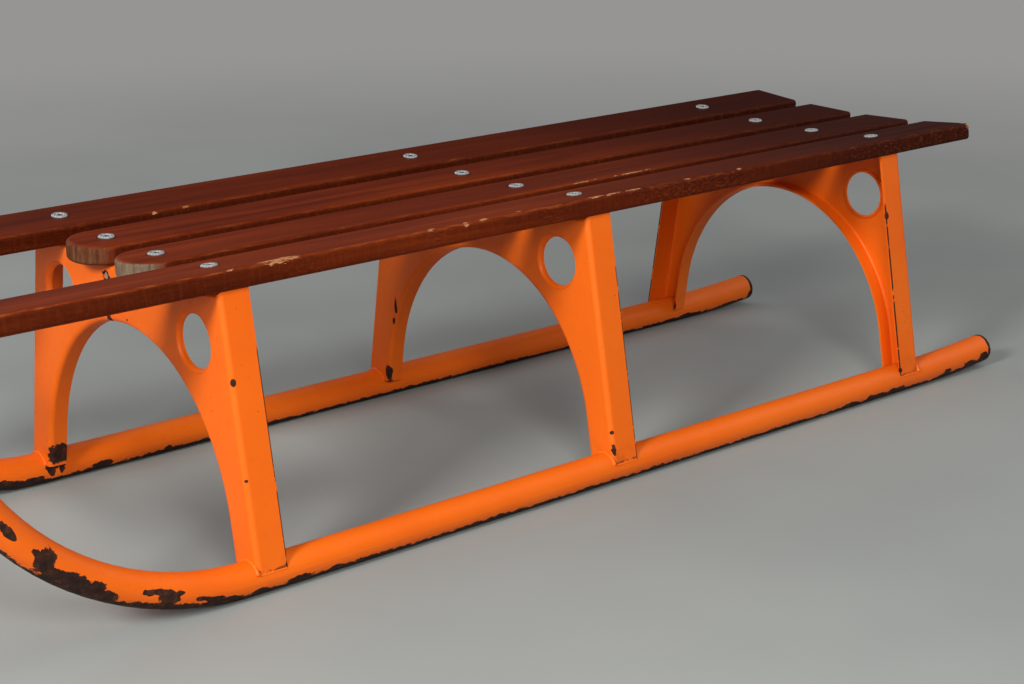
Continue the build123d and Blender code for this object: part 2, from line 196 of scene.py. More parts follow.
# Paint lost on the runners: side of the sled, side of the tube it is on, then along the runner,
# down from its middle, half length and half height in metres
RUNNER_CHIPS = [
    (1, 1, 0.4820, 0.0002, 0.0085, 0.0032),
    (1, 1, 0.4762, 0.0012, 0.0045, 0.0020),
    (1, 1, 0.4540, -0.0002, 0.0038, 0.0026),
    (1, 1, 0.4455, 0.0010, 0.0080, 0.0088),
    (1, 1, 0.4330, 0.0058, 0.0130, 0.0052),
    (1, 1, 0.4150, 0.0042, 0.0140, 0.0056),
    (1, 1, 0.4010, 0.0032, 0.0075, 0.0062),
    (1, 1, 0.3920, 0.0062, 0.0095, 0.0040),
    (1, 1, 0.3620, -0.0010, 0.0048, 0.0023),
    (1, 1, 0.3500, -0.0022, 0.0115, 0.0024),
    (1, 1, 0.3450, 0.0016, 0.0084, 0.0052),
    (1, 1, 0.3372, -0.0020, 0.0036, 0.0020),
    (1, 1, 0.3190, 0.0026, 0.0055, 0.0018),
    (1, 1, 0.3080, 0.0036, 0.0100, 0.0018),
    (1, 1, 0.3000, 0.0066, 0.0140, 0.0028),
    (1, 1, 0.2720, 0.0066, 0.0080, 0.0026),
    (1, 1, 0.2400, 0.0060, 0.0110, 0.0030),
    (1, 1, 0.2080, 0.0066, 0.0070, 0.0026),
    (1, 1, -0.0330, 0.0074, 0.0070, 0.0020),
    (1, 1, -0.3405, 0.0074, 0.0120, 0.0034),
    (1, 1, -0.3740, 0.0070, 0.0150, 0.0036),
    (1, 1, -0.4000, 0.0068, 0.0160, 0.0034),
    (1, 1, -0.4720, 0.0050, 0.0060, 0.0048),
    (1, 1, -0.4700, 0.0084, 0.0140, 0.0042),
    (1, 1, -0.4950, 0.0084, 0.0300, 0.0044),
    (1, 1, -0.5080, 0.0054, 0.0130, 0.0056),
    (1, 1, -0.5240, 0.0030, 0.0080, 0.0070),
    (1, -1, 0.4300, 0.0050, 0.0220, 0.0060),
    (1, -1, 0.3850, 0.0062, 0.0160, 0.0046),
    (1, -1, 0.2100, 0.0068, 0.0110, 0.0034),
    (1, -1, -0.4900, 0.0062, 0.0180, 0.0044),
    (-1, 1, 0.3120, 0.0070, 0.0260, 0.0050),
    (-1, 1, 0.2860, 0.0062, 0.0120, 0.0040),
    (-1, 1, 0.2240, 0.0054, 0.0100, 0.0036),
    (-1, 1, 0.1624, 0.0066, 0.0040, 0.0026),
    (-1, 1, 0.2600, -0.0040, 0.0036, 0.0085),
    (-1, 1, 0.2680, -0.0042, 0.0060, 0.0038),
    (-1, 1, 0.2695, 0.0008, 0.0034, 0.0044),
    (-1, 1, 0.4250, 0.0050, 0.0240, 0.0066),
    (-1, 1, -0.4390, 0.0066, 0.0090, 0.0030),
    (-1, 1, -0.5100, 0.0080, 0.0260, 0.0046),
    (-1, 1, -0.5320, 0.0040, 0.0050, 0.0080),
    (-1, -1, 0.4350, 0.0040, 0.0230, 0.0070),
    (-1, -1, 0.3900, 0.0064, 0.0180, 0.0044),
    (-1, -1, 0.0900, 0.0072, 0.0120, 0.0028),
    (-1, -1, -0.5000, 0.0056, 0.0170, 0.0050),
]

# Paint lost on the bridges: x, y, z of the middle and the half sizes, all in metres
BRIDGE_CHIPS = {
    "front": [
        (0.2740, -0.0215, 0.1935, 0.004, 0.0056, 0.0052),
        (0.2740, -0.0110, 0.1905, 0.004, 0.0040, 0.0022),
        (0.2740, -0.0215, 0.1630, 0.006, 0.0034, 0.0058),
        (0.2740, 0.0045, 0.1665, 0.004, 0.0011, 0.0010),
        (0.2722, 0.1390, 0.1500, 0.0026, 0.0022, 0.0030),
        (0.2726, 0.1375, 0.1600, 0.0012, 0.0012, 0.0014),
        (0.2726, 0.1505, 0.0828, 0.0016, 0.0020, 0.0012),
        (0.2590, 0.1614, 0.0172, 0.0030, 0.0030, 0.0010),
        (0.2498, 0.1612, 0.0195, 0.0014, 0.0030, 0.0016),
        (0.2655, -0.1303, 0.0275, 0.0115, 0.0060, 0.0088),
        (0.2740, -0.1242, 0.0486, 0.0020, 0.0014, 0.0012),
    ],
    "middle": [
        (-0.0604, 0.1600, 0.0296, 0.0022, 0.0030, 0.0056),
        (-0.0600, 0.1571, 0.0430, 0.0022, 0.0020, 0.0018),
        (-0.0590, 0.1418, 0.1452, 0.0016, 0.0012, 0.0014),
        (-0.0600, -0.1318, 0.0262, 0.0040, 0.0034, 0.0080),
        (-0.0595, -0.1316, 0.0170, 0.0060, 0.0030, 0.0024),
        (-0.0590, -0.1210, 0.0650, 0.0016, 0.0022, 0.0150),
        (-0.0590, -0.1180, 0.0900, 0.0014, 0.0018, 0.0080),
    ],
    "rear": [
        (-0.4066, 0.1376, 0.1600, 0.0030, 0.0028, 0.0040),
        (-0.4066, 0.1604, 0.0230, 0.0022, 0.0020, 0.0022),
        (-0.4150, -0.1330, 0.0220, 0.0030, 0.0026, 0.0050),
        (-0.4250, -0.1340, 0.0250, 0.0026, 0.0026, 0.0046),
    ],
}

# Bare spots on the slats, in each slat's own frame: x, across, up, and the half sizes in metres
SLAT_CHIPS = {
    "left_outer": [
        (0.2235, 0.0236, 0.0142, 0.0135, 0.0036, 0.0030),
        (0.2640, 0.0252, 0.0140, 0.0030, 0.0009, 0.0009),
        (0.0930, 0.0244, 0.0142, 0.0030, 0.0015, 0.0014),
        (0.0610, 0.0255, 0.0136, 0.0026, 0.0020, 0.0020),
        (0.0440, 0.0244, 0.0142, 0.0044, 0.0022, 0.0012),
        (0.0080, 0.0225, 0.0145, 0.0022, 0.0013, 0.0010),
        (-0.0700, 0.0240, 0.0143, 0.0090, 0.0012, 0.0012),
        (-0.0860, 0.0242, 0.0143, 0.0080, 0.0013, 0.0013),
        (-0.1080, 0.0244, 0.0143, 0.0070, 0.0011, 0.0012),
        (-0.1680, 0.0242, 0.0143, 0.0030, 0.0012, 0.0012),
        (-0.2280, 0.0244, 0.0143, 0.0020, 0.0012, 0.0012),
        (-0.5258, 0.0238, 0.0126, 0.0036, 0.0052, 0.0036),
    ],
    "left_inner": [
        (-0.1750, 0.0254, 0.0142, 0.0240, 0.0008, 0.0008),
        (-0.1200, 0.0254, 0.0142, 0.0140, 0.0007, 0.0007),
    ],
    "right_inner": [],
    "right_outer": [
        (0.1978, 0.0262, 0.0132, 0.0028, 0.0014, 0.0020),
        (0.1694, 0.0258, 0.0138, 0.0034, 0.0012, 0.0012),
    ],
}


def seat_point(step):
    """Middle of a slat's underside and its tilt."""
    y = step * SLAT_PITCH
    tilt = math.atan2(y, math.sqrt(SEAT_DISH_R ** 2 - y * y))
    touch = SLAT_WIDTH / 2 - SLAT_EDGE_ROUND
    sag = SEAT_DISH_R - math.sqrt(SEAT_DISH_R ** 2 - touch ** 2)
    z = SEAT_UNDER_Z + SEAT_DISH_R - math.sqrt(SEAT_DISH_R ** 2 - y * y)
    return y - math.sin(tilt) * sag, z + math.cos(tilt) * sag, tilt


def cross_axis_height(y):
    """Height of the cross tube's middle line at y on its straight ends."""
    y0, z0, tilt = seat_point(1.5)
    under_y, under_z = y0 + math.sin(tilt) * CROSS_R, z0 - math.cos(tilt) * CROSS_R
    return under_z + (y - under_y) * math.tan(tilt)


class Finish:
    """One material with its shader, and short calls that add nodes to it."""

    def __init__(self, name):
        self.material = bpy.data.materials.new(name)
        self.material.use_nodes = True
        self.tree = self.material.node_tree
        self.tree.nodes.clear()
        self.output = self.tree.nodes.new("ShaderNodeOutputMaterial")
        self.shader = self.tree.nodes.new("ShaderNodeBsdfPrincipled")
        self.tree.links.new(self.shader.outputs["BSDF"], self.output.inputs["Surface"])
        self.texture_place = self.tree.nodes.new("ShaderNodeTexCoord")
        self.place = self.texture_place.outputs["Object"]
        self.normal = self.texture_place.outputs["Normal"]

    def put(self, socket, value):
        """Links a socket to another, or sets its plain value."""
        if isinstance(value, bpy.types.NodeSocket):
            self.tree.links.new(value, socket)
        else:
            socket.default_value = value

    def set(self, **values):
        """Sets inputs of the shader by their names, with _ for each space."""
        for name, value in values.items():
            self.put(self.shader.inputs[name.replace("_", " ")], value)

    def calc(self, operation, a, b=0.0, c=0.0, clamp=False):
        node = self.tree.nodes.new("ShaderNodeMath")
        node.operation = operation
        node.use_clamp = clamp
        self.put(node.inputs[0], a)
        self.put(node.inputs[1], b)
        self.put(node.inputs[2], c)
        return node.outputs[0]

    def plus(self, a, b):
        return self.calc("ADD", a, b)

    def minus(self, a, b):
        return self.calc("SUBTRACT", a, b)

    def times(self, a, b):
        return self.calc("MULTIPLY", a, b)

    def most(self, a, b):
        return self.calc("MAXIMUM", a, b)

    def absolute(self, a):
        return self.calc("ABSOLUTE", a)

    def away(self, a, b):
        """Distance from the middle, for two offsets at right angles."""
        return self.calc("SQRT", self.plus(self.times(a, a), self.times(b, b)))

    def split(self, vector):
        node = self.tree.nodes.new("ShaderNodeSeparateXYZ")
        self.put(node.inputs[0], vector)
        return node.outputs[0], node.outputs[1], node.outputs[2]

    def mapped(self, vector, location=(0, 0, 0), scale=(1, 1, 1)):
        """A vector scaled and then moved."""
        node = self.tree.nodes.new("ShaderNodeMapping")
        self.put(node.inputs["Vector"], vector)
        node.inputs["Location"].default_value = location
        node.inputs["Scale"].default_value = scale
        return node.outputs[0]

    def seen_from(self, vector, middle, tilt=0.0, half=(1, 1, 1)):
        """A place in the frame of a spot, tilted about x and counted in half sizes of the spot."""
        node = self.tree.nodes.new("ShaderNodeMapping")
        node.vector_type = "TEXTURE"
        self.put(node.inputs["Vector"], vector)
        node.inputs["Location"].default_value = middle
        node.inputs["Rotation"].default_value = (tilt, 0, 0)
        node.inputs["Scale"].default_value = half
        return node.outputs[0]

    def spot(self, place, chip):
        """How far a point is from the middle of a chip, counted in the chip's half sizes."""
        near = self.seen_from(place, chip[:3], half=chip[3:])
        length = self.tree.nodes.new("ShaderNodeVectorMath")
        length.operation = "LENGTH"
        self.put(length.inputs[0], near)
        return length.outputs["Value"]

    def noise(self, vector, scale, detail=3.0, roughness=0.5, distortion=0.0):
        node = self.tree.nodes.new("ShaderNodeTexNoise")
        self.put(node.inputs["Vector"], vector)
        node.inputs["Scale"].default_value = scale
        node.inputs["Detail"].default_value = detail
        node.inputs["Roughness"].default_value = roughness
        node.inputs["Distortion"].default_value = distortion
        return node.outputs["Fac"]

    def swing(self, vector, scale, detail, roughness):
        """Noise that swings about zero."""
        return self.minus(self.noise(vector, scale, detail, roughness), 0.5)

    def streaks(self, vector, fine, detail=3.0, roughness=0.5, distortion=0.0):
        """Noise as fine along each axis as the three numbers say."""
        return self.noise(self.mapped(vector, scale=fine), 1.0, detail, roughness, distortion)

    def fade(self, value, low, high, out_low=0.0, out_high=1.0):
        node = self.tree.nodes.new("ShaderNodeMapRange")
        node.interpolation_type = "SMOOTHSTEP"
        self.put(node.inputs["Value"], value)
        node.inputs["From Min"].default_value = low
        node.inputs["From Max"].default_value = high
        node.inputs["To Min"].default_value = out_low
        node.inputs["To Max"].default_value = out_high
        return node.outputs["Result"]

    def ramp(self, value, places, colours):
        node = self.tree.nodes.new("ShaderNodeValToRGB")
        self.put(node.inputs["Fac"], value)
        points = node.color_ramp.elements
        while len(points) < len(places):
            points.new(0.5)
        for point, at, colour in zip(points, places, colours):
            point.position = at
            point.color = (*colour, 1)
        return node.outputs["Color"]

    def mix(self, factor, a, b):
        """Colour between a and b by factor."""
        node = self.tree.nodes.new("ShaderNodeMix")
        node.data_type = "RGBA"
        self.put(node.inputs["Factor"], factor)
        sockets = [s for s in node.inputs if s.type == "RGBA"]
        for socket, value in zip(sockets, (a, b)):
            self.put(socket, value if isinstance(value, bpy.types.NodeSocket) else (*value, 1))
        return [s for s in node.outputs if s.type == "RGBA"][0]

    def blend(self, factor, a, b):
        """Number between a and b by factor."""
        node = self.tree.nodes.new("ShaderNodeMix")
        node.data_type = "FLOAT"
        self.put(node.inputs[0], factor)
        self.put(node.inputs[2], a)
        self.put(node.inputs[3], b)
        return node.outputs[0]

    def bump(self, height, strength, distance):
        node = self.tree.nodes.new("ShaderNodeBump")
        node.inputs["Strength"].default_value = strength
        node.inputs["Distance"].default_value = distance
        self.put(node.inputs["Height"], height)
        return node.outputs["Normal"]


def paint_colour(finish, small):
    """Slightly uneven orange, with pin-pricks of rust in loose groups."""
    broad = finish.noise(finish.place, 9, 3, 0.55)
    colour = finish.ramp(broad, (0.32, 0.50, 0.70), (ORANGE_DEEP, ORANGE, ORANGE_PALE))
    colour = finish.mix(0.24, ORANGE, colour)
    colour = finish.mix(finish.fade(small, 0.54, 0.72, 0.0, 0.14), colour, ORANGE_DEEP)
    specks = finish.fade(finish.noise(finish.place, 360, 2, 0.5), 0.715, 0.755)
    groups = finish.fade(finish.noise(finish.place, 21, 2, 0.5), 0.52, 0.62)
    specks = finish.times(specks, groups)
    return finish.mix(finish.times(specks, 0.75), colour, PIN_PRICK)


def rust_colour(finish, tint):
    """Patchy rust, near black towards the bottom of the tube."""
    patches = finish.noise(finish.place, 150, 6, 0.70)
    rust = finish.ramp(patches, (0.36, 0.52, 0.66), (RUST_DARK, RUST_MIDDLE, tint))
    _, _, z = finish.split(finish.place)
    # darker towards the bottom of the tube
    return finish.mix(finish.fade(z, 0.0075, 0.0035, 0.0, 0.7), rust, RUST_LOWEST)


def paint_over_steel(finish, bare, dirt=None, rust_tint=RUST_BROWN):
    """Satin orange paint with bare rusty steel where bare is 1, and a lifted paint edge."""
    small = finish.noise(finish.place, 160, 4, 0.6)
    colour = paint_colour(finish, small)
    if dirt is not None:
        colour = finish.mix(dirt, colour, PAINT_GRIME)
    solid = finish.fade(bare, 0.35, 0.65)
    colour = finish.mix(solid, colour, rust_colour(finish, rust_tint))
    rim = finish.times(finish.fade(bare, 0.02, 0.35), finish.fade(bare, 0.65, 0.98, 1.0, 0.0))
    colour = finish.mix(finish.times(rim, 0.45), colour, LIFTED_PAINT)
    painted = finish.fade(small, 0.3, 0.7, 0.40, 0.50)
    rusty = finish.fade(small, 0.3, 0.7, 0.62, 0.86)
    dull = finish.blend(solid, painted, rusty)
    finish.set(Base_Color=colour, Roughness=dull, Specular_IOR_Level=0.26)
    # the paint's skin and fine peel, pitted where it is bare, and the step down at its edge
    skin = finish.times(finish.noise(finish.place, 55, 2, 0.4), 0.20)
    peel = finish.times(finish.noise(finish.place, 480, 2, 0.5), 0.05)
    pits = finish.times(finish.times(finish.noise(finish.place, 700, 3, 0.6), solid), 0.5)
    height = finish.minus(finish.plus(finish.plus(skin, peel), pits), solid)
    finish.set(Normal=finish.bump(height, 0.55, 0.0005))


def runner_along_and_down(finish):
    """Where a point is across and along the runner, and how far below its middle line."""
    x, y, z = finish.split(finish.place)
    ahead = finish.most(finish.minus(x, NOSE_START_X), 0.0)
    below = finish.minus(NOSE_BEND_R + TUBE_R, z)
    down = finish.minus(finish.away(ahead, below), NOSE_BEND_R)
    turn = finish.times(finish.calc("ARCTAN2", ahead, below), NOSE_BEND_R)
    along = finish.plus(finish.calc("MINIMUM", x, NOSE_START_X), turn)
    return x, y, along, down


def runner_paint(name, side):
    """Orange paint on a runner, worn off below by the snow and at the tail rim."""
    finish = Finish(name)
    x, y, along, down = runner_along_and_down(finish)
    ragged = finish.swing(finish.place, 130, 6, 0.70)
    broad = finish.swing(finish.mapped(finish.place, scale=(0.35, 1, 1)), 34, 2, 0.5)
    edge = finish.plus(down, finish.times(ragged, 0.0100))
    edge = finish.plus(edge, finish.times(broad, 0.0060))
    # the wear fades out up the nose, which rides clear of the snow
    edge = finish.minus(edge, finish.fade(along, NOSE_WEAR_FROM, NOSE_WEAR_TO, 0.0, 0.0050))
    bare = finish.fade(edge, WORN_BELOW, WORN_BELOW + 0.0005)
    rim_edge = finish.minus(finish.times(ragged, 0.0050), x)
    rim = finish.fade(rim_edge, -TAIL_X - TAIL_RIM, -TAIL_X - TAIL_RIM + 0.0006)
    bare = finish.most(bare, rim)
    across = finish.minus(y, side * HALF_TRACK)
    for chip_side, toward, chip_along, chip_down, half_long, half_high in RUNNER_CHIPS:
        if chip_side != side:
            continue
        a = finish.calc("DIVIDE", finish.minus(along, chip_along), half_long)
        b = finish.calc("DIVIDE", finish.minus(down, chip_down), half_high)
        off = finish.plus(finish.away(a, b), finish.times(ragged, RUNNER_CHIP_RAG))
        faces = finish.fade(finish.times(across, toward), -0.001, 0.001)
        bare = finish.most(bare, finish.times(finish.fade(off, 1.0, 0.93), faces))
    paint_over_steel(finish, bare)
    return finish.material


def free_edge_dashes(finish, row, row_x, facing):
    """Thin paint on the outer corner of each leg's free edge, broken into dark dashes."""
    x, y, z = finish.split(finish.place)
    free_x = row_x + facing * (WEB_AHEAD - FLANGE_WIDTH)
    at_edge = finish.fade(finish.absolute(finish.minus(x, free_x)), 0.0009, 0.0004)
    leg_face = finish.calc("MULTIPLY_ADD", z, -LEG_LEAN, LEG_OFFSET)
    deep = finish.minus(leg_face, finish.absolute(y))
    at_edge = finish.times(at_edge, finish.fade(deep, 0.0014, 0.0009))
    low = 0.40 if row == "rear" else 0.38
    dashes = finish.fade(finish.noise(finish.place, 78, 5, 0.7), low, 0.44)
    dashes = finish.times(dashes, finish.fade(z, 0.172, 0.166))
    return finish.times(at_edge, dashes)


def foot_dirt(finish, ragged):
    """Cracked paint along the joint with the runner, and grime just above it."""
    _, y, z = finish.split(finish.place)
    aside = finish.minus(finish.absolute(y), HALF_TRACK)
    over = finish.minus(z, TUBE_R)
    gap = finish.minus(finish.away(aside, over), TUBE_R)
    crack = finish.times(finish.fade(gap, 0.0010, 0.0005), finish.fade(ragged, -0.06, 0.04))
    patches = finish.fade(finish.noise(finish.place, 60, 3), 0.46, 0.72)
    grime = finish.times(finish.fade(z, 0.040, FOOT_Z), patches)
    return finish.most(finish.times(grime, 0.35), finish.times(crack, 0.85))


def bridge_paint(row, row_x, facing):
    """Orange paint on a bridge, chipped at its corners, feet and holes."""
    finish = Finish("orange_bridge_" + row)
    ragged = finish.swing(finish.place, 190, 6, 0.72)
    bare = 0.0
    for chip in BRIDGE_CHIPS[row]:
        off = finish.plus(finish.spot(finish.place, chip), finish.times(ragged, BRIDGE_CHIP_RAG))
        bare = finish.most(bare, finish.fade(off, 1.0, 0.90))
    bare = finish.most(bare, free_edge_dashes(finish, row, row_x, facing))
    paint_over_steel(finish, bare, foot_dirt(finish, ragged), RUST_RED)
    return finish.material


def plain_paint(name):
    """Orange paint on the cross tube and the weld beads, with light wear."""
    finish = Finish(name)
    worn = finish.fade(finish.noise(finish.place, 70, 6, 0.68), 0.68, 0.71)
    paint_over_steel(finish, worn)
    return finish.material


def plug_paint(name, tail):
    """Runner end plug: worn to dark steel at the tail, painted at the nose."""
    finish = Finish(name)
    ragged = finish.noise(finish.place, 120, 6, 0.65)
    bare = finish.fade(ragged, 0.36, 0.42) if tail else finish.fade(ragged, 0.62, 0.66)
    paint_over_steel(finish, bare)
    return finish.material


class SlatFinish(Finish):
    """Stained and varnished board, in the slat's own frame: x along, y across, z up from its underside."""

    def __init__(self, name, step):
        super().__init__("stained_wood_" + name)
        self.slat = name
        self.most_rubbed = name == "left_outer"
        y0, z0, tilt = seat_point(step)
        self.local = self.seen_from(self.place, (0, y0, z0), tilt)
        self.x, self.y, self.z = self.split(self.local)
        # each slat has its own stretch of the same grain
        self.shift = self.mapped(self.local, (step * 3.1, step * 1.7, step * 0.9))
        self.grain = self.streaks(self.shift, (5, 130, 130), 5, 0.6, 0.3)
        self.fibres = self.streaks(self.shift, (22, 900, 900), 3, 0.6)
        self.end_grain = self.streaks(self.shift, (330, 330, 60), 4, 0.65)
        self.rub = self.streaks(self.shift, (60, 420, 420), 6, 0.72)
        self.flecks = self.streaks(self.shift, (190, 640, 640), 3, 0.68)
        # 1 on the sides, and 1 on the upper arrises
        half = SLAT_WIDTH / 2
        side = self.absolute(self.y)
        self.flank = self.fade(side, half - 0.0010, half - 0.0003)
        near_side = self.fade(side, half - ARRIS_REACH, half - 0.0014)
        near_top = self.fade(self.z, SLAT_THICK - SLAT_EDGE_ROUND, SLAT_THICK - 0.0012)
        self.arris = self.times(near_side, near_top)

    def tint(self, factor, colour):
        """Lays a colour over those that are there so far."""
        self.colour = self.mix(factor, self.colour, colour)

    def stain(self):
        """Streaky stain, darker towards the tail, and on the outer right slat."""
        clouds = self.streaks(self.shift, (4, 22, 22), 3, 0.5)
        tone = self.plus(self.times(self.grain, 0.55), self.times(clouds, 0.45))
        self.colour = self.ramp(tone, (0.30, 0.45, 0.58, 0.74), STAIN)
        self.tint(self.fade(self.fibres, 0.56, 0.74, 0.0, 0.30), STAIN_FIBRE)
        depth = 0.30 if self.slat == "right_outer" else 0.0
        self.tint(self.fade(self.x, 0.05, MIDDLE_X - 0.42, depth, 0.88), STAIN_TAIL)

    def rub_and_highlight_arrises(self):
        """Upper arrises lighter, as rubbed wear and painted highlight, most on the outer left slat and
        little towards the tail.
        """
        # painted highlight along the upper arrises, patchy like rubbed wear
        self.rubbed_and_highlight = self.times(self.arris, self.fade(self.rub, 0.44, 0.66))
        worn = self.fade(self.x, -0.32, -0.05, 0.10, 0.60 if self.most_rubbed else 0.22)
        self.tint(self.times(self.rubbed_and_highlight, worn), WOOD_RUBBED_AND_HIGHLIGHT)
        # specks rubbed through to the wood, in groups
        groups = self.fade(self.streaks(self.shift, (16, 4, 4), 2), 0.52, 0.62)
        specks = self.times(self.arris, self.times(groups, self.fade(self.rub, 0.62, 0.68)))
        self.through = self.times(specks, worn)
        self.tint(self.through, WOOD_THROUGH)

    def mark_sides(self):
        """Darker sides, with short upright marks left by the saw."""
        shade = self.fade(self.x, 0.10, 0.30, 0.36 if self.most_rubbed else 0.62, 0.62)
        self.tint(self.times(self.flank, shade), STAIN_FLANK)
        marks = self.streaks(self.shift, (420, 40, 40), 3, 0.6)
        sawn = self.times(self.flank, self.fade(marks, 0.46, 0.68))
        self.tint(self.times(sawn, 0.08), SAW_MARK)

    def fleck(self):
        """Fine pale and dark flecks in the stain of the saw-rough sides and the rubbed arrises."""
        run = self.streaks(self.shift, (9, 3, 3), 2)
        run = self.fade(run, 0.42, 0.58, 0.25, 1.0 if self.most_rubbed else 0.4)
        rough = self.times(self.most(self.flank, self.times(self.arris, 0.8)), run)
        self.tint(self.times(rough, self.fade(self.flecks, 0.52, 0.68, 0.0, 0.38)), FLECK_PALE)
        self.tint(self.times(rough, self.fade(self.flecks, 0.48, 0.34, 0.0, 0.42)), FLECK_DARK)

    def weather_ends(self, nose_x):
        """Cut ends, which drink less stain and go grey."""
        _, _, up = self.split(self.normal)
        upright = self.fade(self.absolute(up), 0.85, 0.45)
        self.nose = self.times(self.fade(self.x, nose_x + 0.002, nose_x + 0.018), upright)
        grey = self.ramp(self.end_grain, (0.30, 0.50, 0.70), NOSE_SHADES[self.slat])
        self.tint(self.times(self.nose, 0.80), grey)
        tail = self.fade(self.x, SLAT_TAIL_X + 0.0015, SLAT_TAIL_X + 0.0002)
        tail_end = self.ramp(self.end_grain, (0.35, 0.60, 0.75), TAIL_END)
        self.tint(self.times(tail, upright), tail_end)

    def shade_round_heads(self):
        """Painted shade: a dark ring round each rivet head."""
        for _, row_x, _ in BRIDGE_ROWS:
            out = self.away(self.minus(self.x, row_x), self.y)
            # painted shade on the wood round the head, darkest at its rim
            self.tint(self.fade(out, HEAD_SHADE_R, HEAD_R, 0.0, 0.6), HEAD_SHADE)

    def chip(self):
        """Bare spots, ragged along the fibres."""
        by_rub = self.times(self.minus(self.rub, 0.5), WOOD_CHIP_RAG)
        by_flecks = self.times(self.minus(self.flecks, 0.5), WOOD_CHIP_FLECKS)
        self.bare = 0.0
        for chip in SLAT_CHIPS[self.slat]:
            off = self.plus(self.plus(self.spot(self.local, chip), by_rub), by_flecks)
            self.bare = self.most(self.bare, self.fade(off, 1.0, 0.72))
        self.tint(self.times(self.bare, 0.92), self.ramp(self.fibres, (0.35, 0.65), RAW_WOOD))

    def surface(self):
        """Shine of the varnish, duller where the wood is raw, and the relief of the grain."""
        raw = self.most(self.most(self.nose, self.bare), self.times(self.rubbed_and_highlight, 0.4))
        varnish = self.fade(self.grain, 0.3, 0.7, 0.46, 0.60)
        dull = self.blend(raw, varnish, 0.75)
        self.set(Base_Color=self.colour, Roughness=dull, Specular_IOR_Level=0.06)
        height = self.plus(self.times(self.grain, 0.6), self.times(self.fibres, 0.25))
        height = self.minus(height, self.times(self.most(self.bare, self.through), 0.9))
        height = self.plus(height, self.times(self.times(self.nose, self.end_grain), 0.8))
        self.set(Normal=self.bump(height, 0.45, 0.0006))


def slat_stain(name, step, nose_x):
    """Red-brown board, from its stain up to its wear."""
    finish = SlatFinish(name, step)
    finish.stain()
    finish.rub_and_highlight_arrises()
    finish.mark_sides()
    finish.fleck()
    finish.weather_ends(nose_x)
    finish.shade_round_heads()
    finish.chip()
    finish.surface()
    return finish.material


def zinc_head(name, place, tilt):
    """Dull zinc fastener: fine rubbed scratches, with painted shade in the bore, along the edge of the
    dish and under the rim.
    """
    finish = Finish("zinc_" + name)
    local = finish.seen_from(finish.place, place, tilt)
    x, y, z = finish.split(local)
    out = finish.away(x, y)
    spots = finish.noise(local, 700, 4, 0.65)
    rubbed_and_highlight = finish.streaks(local, (300, 2200, 300), 2, 0.5)
    colour = finish.ramp(spots, (0.32, 0.50, 0.70), ZINC)
    # painted shade: darkest in the bore, with a thin dark line at the edge of the dish
    bore = finish.fade(out, HEAD_BORE_R, 0.0014)
    dish = finish.fade(finish.absolute(finish.minus(out, HEAD_DISH_R)), 0.0007, 0.0001)
    colour = finish.mix(bore, colour, ZINC_BORE_SHADE)
    colour = finish.mix(finish.times(dish, 0.16), colour, ZINC_DISH_SHADE)
    # painted shade under the rim, where the head meets the wood
    skirt = finish.fade(z, 0.0007, -0.0002)
    colour = finish.mix(finish.times(skirt, 0.6), colour, ZINC_SKIRT_SHADE)
    metal = finish.blend(bore, 0.55, 0.1)
    dull = finish.fade(rubbed_and_highlight, 0.3, 0.7, 0.34, 0.54)
    finish.set(Base_Color=colour, Metallic=metal, Roughness=dull)
    height = finish.plus(finish.times(rubbed_and_highlight, 0.5), finish.times(spots, 0.5))
    finish.set(Normal=finish.bump(height, 0.35, 0.0002))
    return finish.material


def give(node, material):
    """Puts one finish on a solid carried over from the frame."""
    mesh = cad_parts[node].data
    mesh.materials.clear()
    mesh.materials.append(material)


def finish_solids():
    """Gives every solid of the sled its finish."""
    for side, word in SIDES:
        give("runner_" + word, runner_paint("orange_runner_" + word, side))
        give("plug_tail_" + word, plug_paint("orange_plug_tail_" + word, True))
        give("plug_nose_" + word, plug_paint("orange_plug_nose_" + word, False))
    give("front_cross_tube", plain_paint("orange_cross_tube"))
    for row, row_x, facing in BRIDGE_ROWS:
        give("bridge_" + row, bridge_paint(row, row_x, facing))
    for name, step, nose_x in SLATS:
        give("slat_" + name, slat_stain(name, step, nose_x))
        y0, z0, tilt = seat_point(step)
        top = Vector((0, y0, z0)) + Vector((0, -math.sin(tilt), math.cos(tilt))) * SLAT_THICK
        for row, row_x, _ in BRIDGE_ROWS:
            node = f"rivet_{row}_{name}"
            give(node, zinc_head(node, (row_x, top.y, top.z), tilt))
        if abs(step) > 1:
            word = "left" if step > 0 else "right"
            bolt, nut = "cross_bolt_" + word, "cross_nut_" + word
            give(bolt, zinc_head(bolt, (CROSS_X, top.y, top.z), tilt))
            give(nut, zinc_head(nut, (CROSS_X, top.y, top.z - BELOW_NUT), tilt))


def keep_piece(name, maker, material):
    """Turns a finished bmesh into a piece that rides with the sled."""
    mesh = bpy.data.meshes.new(name)
    bmesh.ops.recalc_face_normals(maker, faces=maker.faces)
    maker.to_mesh(mesh)
    maker.free()
    mesh.polygons.foreach_set("use_smooth", [True] * len(mesh.polygons))
    mesh.materials.append(material)
    piece = bpy.data.objects.new(name, mesh)
    bpy.context.scene.collection.objects.link(piece)
    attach(piece, "root")


def bead_ring(maker, radius, capped):
    """End of a weld bead, flat in x and y about the origin."""
    made = bmesh.ops.create_circle(maker, cap_ends=capped, segments=BEAD_CORNERS, radius=radius)
    return made["verts"]


